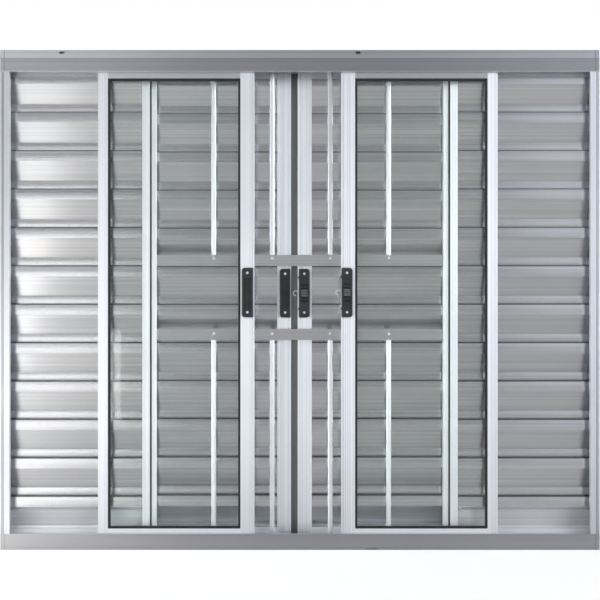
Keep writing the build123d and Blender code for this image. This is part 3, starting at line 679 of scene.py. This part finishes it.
class WINDOW_OT_grille_finish(Operator):
    """Grille rails, posts and bars"""

    bl_idname = "window.grille_finish"
    bl_label = "Grille"

    def execute(self, context):
        metal = settings().metal
        rails = drawn_metal(
            "grille_rail_metal", tuple(metal.grille_tint), metal.grille_roughness, along=0, band=0.003
        )
        bars = drawn_metal(
            "grille_bar_metal", tuple(metal.bar_tint), metal.bar_roughness, along=2, edge=0.0015
        )
        give(nodes_named("grille_rail_upper", "grille_rail_lower"), rails)
        give(nodes_named("grille_bars_upper", "grille_bars_lower"), bars)
        give(nodes_named("grille_post_left", "grille_post_right"), bars)
        return {"FINISHED"}


class WINDOW_OT_glazing_finish(Operator):
    """Panes and their black gaskets"""

    bl_idname = "window.glazing_finish"
    bl_label = "Glazing"

    def execute(self, context):
        trim = settings().trim
        give(nodes_named("_pane"), float_glass("pane_glass", tuple(trim.glass_tint)))
        rubber = moulded("gasket_rubber", tuple(trim.rubber_tint), 0.55, grain=1500.0, depth=0.00006)
        give(nodes_named("_gasket"), rubber)
        return {"FINISHED"}


class WINDOW_OT_hardware_finish(Operator):
    """Pulls, hooks, rollers and guides"""

    bl_idname = "window.hardware_finish"
    bl_label = "Hardware"

    def execute(self, context):
        trim = settings().trim
        black = {"colour": tuple(trim.plastic_tint), "roughness": 0.42, "grain": 2200.0, "depth": 0.00005}
        black.update(edge=0.0005, wear=0.9)
        slides = slide_faces("latch_pulls")
        nylon = moulded("nylon", tuple(trim.nylon_tint), 0.5, grain=900.0, depth=0.00004)
        backing = moulded("brush_back", tuple(trim.pile_tint), 0.9, grain=1200.0, depth=0.0003)
        give(nodes_named("shell_pulls"), moulded("pull_plastic", **black))
        give(nodes_named("latch_pulls"), moulded("latch_plastic", **black, pale=slides))
        give(nodes_named("latch_hooks"), zinc("hook_zinc", (0.92, 0.92, 0.93), 0.4))
        give(nodes_named("leaf_rollers", "leaf_guide_blocks"), nylon)
        give(nodes_named("grille_brush_seals"), backing)
        return {"FINISHED"}


class WINDOW_OT_pull_screws(Operator):
    """Two cross-headed screws in each pull"""

    bl_idname = "window.pull_screws"
    bl_label = "Pull screws"

    def execute(self, context):
        sizes = settings().fasteners
        places = []
        for node in ("shell_pulls", "latch_pulls"):
            places += pull_seats(node, sizes.pull_screw_inset, sizes.seat_depth)
        form, faces = head_form(sizes.screw_radius, sizes.screw_height, cross=1.0)
        points, faces = repeated(form, faces, np.array(places))
        plated = zinc("screw_zinc", (0.97, 0.97, 0.96), 0.3, metallic=0.4)
        build_mesh("pull_screws", points, faces, plated)
        return {"FINISHED"}


class WINDOW_OT_grille_rivets(Operator):
    """Rivets where the bars meet the grille's rails"""

    bl_idname = "window.grille_rivets"
    bl_label = "Grille rivets"

    def execute(self, context):
        sizes = settings().fasteners
        bars_low, bars_high = (np.array(corner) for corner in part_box("grille_bars_upper"))
        half_bar = sizes.bar_width / 2
        xs = np.linspace(bars_low[0] + half_bar, bars_high[0] - half_bar, sizes.bar_count)
        upper_low, upper_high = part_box("grille_rail_upper")
        lower_low, lower_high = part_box("grille_rail_lower")
        places = [(x, upper_low.y, upper_high.z - sizes.rivet_inset) for x in xs]
        places += [(x, lower_low.y, lower_high.z - sizes.lower_rivet_inset) for x in xs]
        form, faces = head_form(sizes.rivet_radius, sizes.rivet_height, cross=0.0)
        points, faces = repeated(form, faces, np.array(places))
        bright = zinc("rivet_metal", (0.97, 0.97, 0.97), 0.25, metallic=0.2)
        build_mesh("grille_rivets", points, faces, bright)
        return {"FINISHED"}


class WINDOW_OT_brush_pile(Operator):
    """Pile on the brush seals along the grille's posts"""

    bl_idname = "window.brush_pile"
    bl_label = "Brush pile"

    def execute(self, context):
        sizes = settings().fasteners
        low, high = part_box("grille_brush_seals")
        thick = (high.y - low.y) * 0.8
        strips = []
        for x, side in ((low.x, -1.0), (high.x, 1.0)):
            span = (high.z - low.z) * side
            start = low.z if side > 0 else high.z
            reach = side * sizes.pile_reach
            strips.append(tuft_strip((x, 0.0, start), span, reach, thick, sizes.tuft_count))
        points = np.concatenate([strip[0] for strip in strips])
        faces = np.concatenate([strips[0][1], strips[1][1] + len(strips[0][0])])
        pile = moulded("brush_pile_fibre", tuple(settings().trim.pile_tint), 0.9, 2500.0, 0.0002, edge=0.0002)
        build_mesh("brush_pile", points, faces, pile)
        return {"FINISHED"}


class WINDOW_OT_jamb_screws(Operator):
    """A fixing screw in the groove of each jamb"""

    bl_idname = "window.jamb_screws"
    bl_label = "Jamb screws"

    def execute(self, context):
        sizes = settings().fasteners
        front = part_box("frame_jamb_left")[0].y
        side = float(HIGH[0]) - sizes.jamb_screw_inset
        places = np.array([(-side, front, sizes.left_screw_rise), (side, front, sizes.right_screw_rise)])
        form, faces = head_form(sizes.jamb_screw_radius, sizes.rivet_height, cross=1.0)
        points, faces = repeated(form + (0.0, sizes.rivet_height, 0.0), faces, places)
        plated = zinc("jamb_screw_zinc", (0.97, 0.97, 0.97), 0.3, metallic=0.3)
        build_mesh("jamb_screws", points, faces, plated)
        return {"FINISHED"}


def tuft_strip(place, span, reach, thick, tufts):
    """A brush strip as a surface of two parameters, round its section and along its length.

    Along its length v the reach of the pile is a constant plus three sines of v, so that its tufts end
    unevenly, and its thickness varies with a cosine of v. Round the section the form runs out along one flat
    side of the pile, over its tip and back along the other. Its two ends are open.
    """
    v = np.linspace(0.0, 1.0, tufts)
    uneven = 0.82 + 0.09 * np.sin(v * 811.0) + 0.05 * np.sin(v * 2203.0 + 1.0)
    uneven = uneven + 0.04 * np.sin(v * 97.0 + 2.0)
    near_side = [(0.0, -0.5), (0.5, -0.5), (0.9, -0.25)]
    section = np.array([*near_side, (1.0, 0.0), (0.9, 0.25), (0.5, 0.5), (0.0, 0.5)])
    x = place[0] + reach * section[None, :, 0] * uneven[:, None]
    y = place[1] + thick * section[None, :, 1] * (0.9 + 0.1 * np.cos(v * 1500.0))[:, None]
    z = np.broadcast_to(place[2] + span * v[:, None], x.shape)
    return np.stack([x, y, z], axis=-1).reshape(-1, 3), grid_faces(tufts, len(section))


def softbox(name, place, aim, size, power, colour):
    """A soft lamp of a given size that points at a place."""
    lamp = bpy.data.lights.new(name, "AREA")
    lamp.shape = "RECTANGLE"
    lamp.size, lamp.size_y = size
    lamp.energy = power
    lamp.color = colour
    holder = bpy.data.objects.new(name, lamp)
    holder.location = place
    holder.rotation_euler = (Vector(aim) - Vector(place)).to_track_quat("-Z", "Y").to_euler()
    bpy.context.scene.collection.objects.link(holder)


def stage_plane(name, corners, material):
    """A flat sheet of the stage, from its four corners."""
    mesh = bpy.data.meshes.new(name)
    mesh.from_pydata(corners, [], [(0, 1, 2, 3)])
    mesh.materials.append(material)
    sheet = bpy.data.objects.new(name, mesh)
    bpy.context.scene.collection.objects.link(sheet)


def paper(name, colour, glow, far_glow=0.85, near=1.2, far=3.5):
    """Pale paper with a glow of its own for the camera, which grows from near to far off the window."""
    shader = Shader(name)
    clouds = shader.noise(shader.place, scale=1.5, detail=2.0)
    base = shader.blend(clouds, shaded(colour, 0.99), shaded(colour, 1.01))
    shader.link(base, shader.surface.inputs["Base Color"])
    shader.surface.inputs["Roughness"].default_value = 0.9
    shader.surface.inputs["Specular IOR Level"].default_value = 0.0
    path = shader.add("ShaderNodeLightPath")
    shader.surface.inputs["Emission Color"].default_value = (1.0, 1.0, 1.0, 1.0)
    distance = shader.add("ShaderNodeVectorMath", operation="LENGTH")
    shader.link(shader.place, distance.inputs[0])
    white = shader.fit(distance.outputs["Value"], near, far, glow, far_glow)
    strength = shader.maths("MULTIPLY", path.outputs["Is Camera Ray"], white)
    shader.link(strength, shader.surface.inputs["Emission Strength"])
    return shader.material


def room_light(tone, mirrored, behind=0.1):
    """A room of one soft tone, which the camera sees as white.

    Metal and glass see it whiter too, by the share mirrored, in directions that lead behind the window.
    """
    room = bpy.data.worlds.new("room_light")
    room.use_nodes = True
    tree = room.node_tree

    def maths(operation, first, second):
        node = tree.nodes.new("ShaderNodeMath")
        node.operation = operation
        for socket, value in zip(node.inputs, (first, second)):
            if isinstance(value, float):
                socket.default_value = value
            else:
                tree.links.new(value, socket)
        return node.outputs["Value"]

    path = tree.nodes.new("ShaderNodeLightPath")
    direction = tree.nodes.new("ShaderNodeSeparateXYZ")
    tree.links.new(tree.nodes.new("ShaderNodeTexCoord").outputs["Generated"], direction.inputs["Vector"])
    backward = maths("MULTIPLY", maths("GREATER_THAN", direction.outputs["Y"], behind), mirrored)
    bent = maths("MAXIMUM", path.outputs["Is Glossy Ray"], path.outputs["Is Transmission Ray"])
    seen = maths("MAXIMUM", path.outputs["Is Camera Ray"], maths("MULTIPLY", bent, backward))
    mixed = tree.nodes.new("ShaderNodeMix")
    mixed.data_type = "RGBA"
    tree.links.new(seen, mixed.inputs["Factor"])
    low, high = (socket for socket in mixed.inputs if socket.type == "RGBA")
    low.default_value, high.default_value = (*tone, 1.0), (1.0, 1.0, 1.0, 1.0)
    result = next(socket for socket in mixed.outputs if socket.type == "RGBA")
    tree.links.new(result, tree.nodes["Background"].inputs["Color"])
    return room


class WINDOW_OT_studio(Operator):
    """Camera at the window's front, pale floor and soft light"""

    bl_idname = "window.studio"
    bl_label = "Studio"

    def execute(self, context):
        studio = settings().studio
        scene = context.scene
        reach = 6.0
        floor = paper("floor_paper", tuple(studio.floor_tint), studio.floor_glow)
        corners = [(-reach, -reach, 0), (reach, -reach, 0), (reach, reach, 0), (-reach, reach, 0)]
        stage_plane("floor", corners, floor)
        scene.world = room_light(tuple(studio.room_tint), studio.mirrored_room)

        for lamp in LAMPS:
            softbox(*lamp)

        lens_data = bpy.data.cameras.new("camera")
        camera = bpy.data.objects.new("camera", lens_data)
        scene.collection.objects.link(camera)
        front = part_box("frame_head")[0].y
        camera.location = (float(CENTRE[0]), front - studio.distance, studio.eye_height)
        camera.rotation_euler = (math.radians(90.0), 0.0, 0.0)
        width = float(SIZE[0])
        lens_data.sensor_width = 36.0
        lens_data.lens = lens_data.sensor_width * studio.distance / width
        pixel = width / studio.picture_width
        half = studio.picture_width / 2
        centre_height = float(HIGH[2]) - (half - studio.window_top) * pixel
        lens_data.shift_y = (centre_height - studio.eye_height) / width
        lens_data.clip_end = 50.0
        scene.camera = camera

        scene.view_settings.view_transform = "Standard"
        return {"FINISHED"}


class WINDOW_PT_panel(Panel):
    """Steps and settings of the louvred shutter window"""

    bl_idname = "WINDOW_PT_panel"
    bl_label = "Louvred Shutter Window"
    bl_space_type = "VIEW_3D"
    bl_region_type = "UI"
    bl_category = "Window"

    def draw(self, context):
        layout = self.layout
        for step in STEPS:
            layout.operator(step.bl_idname)
        groups = context.scene.louvred_window
        for group in (groups.metal, groups.trim, groups.fasteners, groups.studio):
            box = layout.box()
            for key in group.__annotations__:
                box.prop(group, key)


STEPS = (
    WINDOW_OT_frame_finish,
    WINDOW_OT_leaf_finish,
    WINDOW_OT_slat_finish,
    WINDOW_OT_grille_finish,
    WINDOW_OT_glazing_finish,
    WINDOW_OT_hardware_finish,
    WINDOW_OT_pull_screws,
    WINDOW_OT_grille_rivets,
    WINDOW_OT_jamb_screws,
    WINDOW_OT_brush_pile,
    WINDOW_OT_studio,
)
SETTINGS = (MetalSettings, TrimSettings, FastenerSettings, StudioSettings, WindowSettings)
CLASSES = (*SETTINGS, *STEPS, WINDOW_PT_panel)


def register():
    """Make the classes and settings known."""
    for kind in CLASSES:
        bpy.utils.register_class(kind)
    bpy.types.Scene.louvred_window = PointerProperty(type=WindowSettings)


def unregister():
    """Take the classes and settings away again."""
    del bpy.types.Scene.louvred_window
    for kind in reversed(CLASSES):
        bpy.utils.unregister_class(kind)


def main():
    """Run every step in order."""
    register()
    for step in STEPS:
        group, name = step.bl_idname.split(".")
        getattr(getattr(bpy.ops, group), name)()
    bpy.context.view_layer.update()


if __name__ == "__main__":
    main()
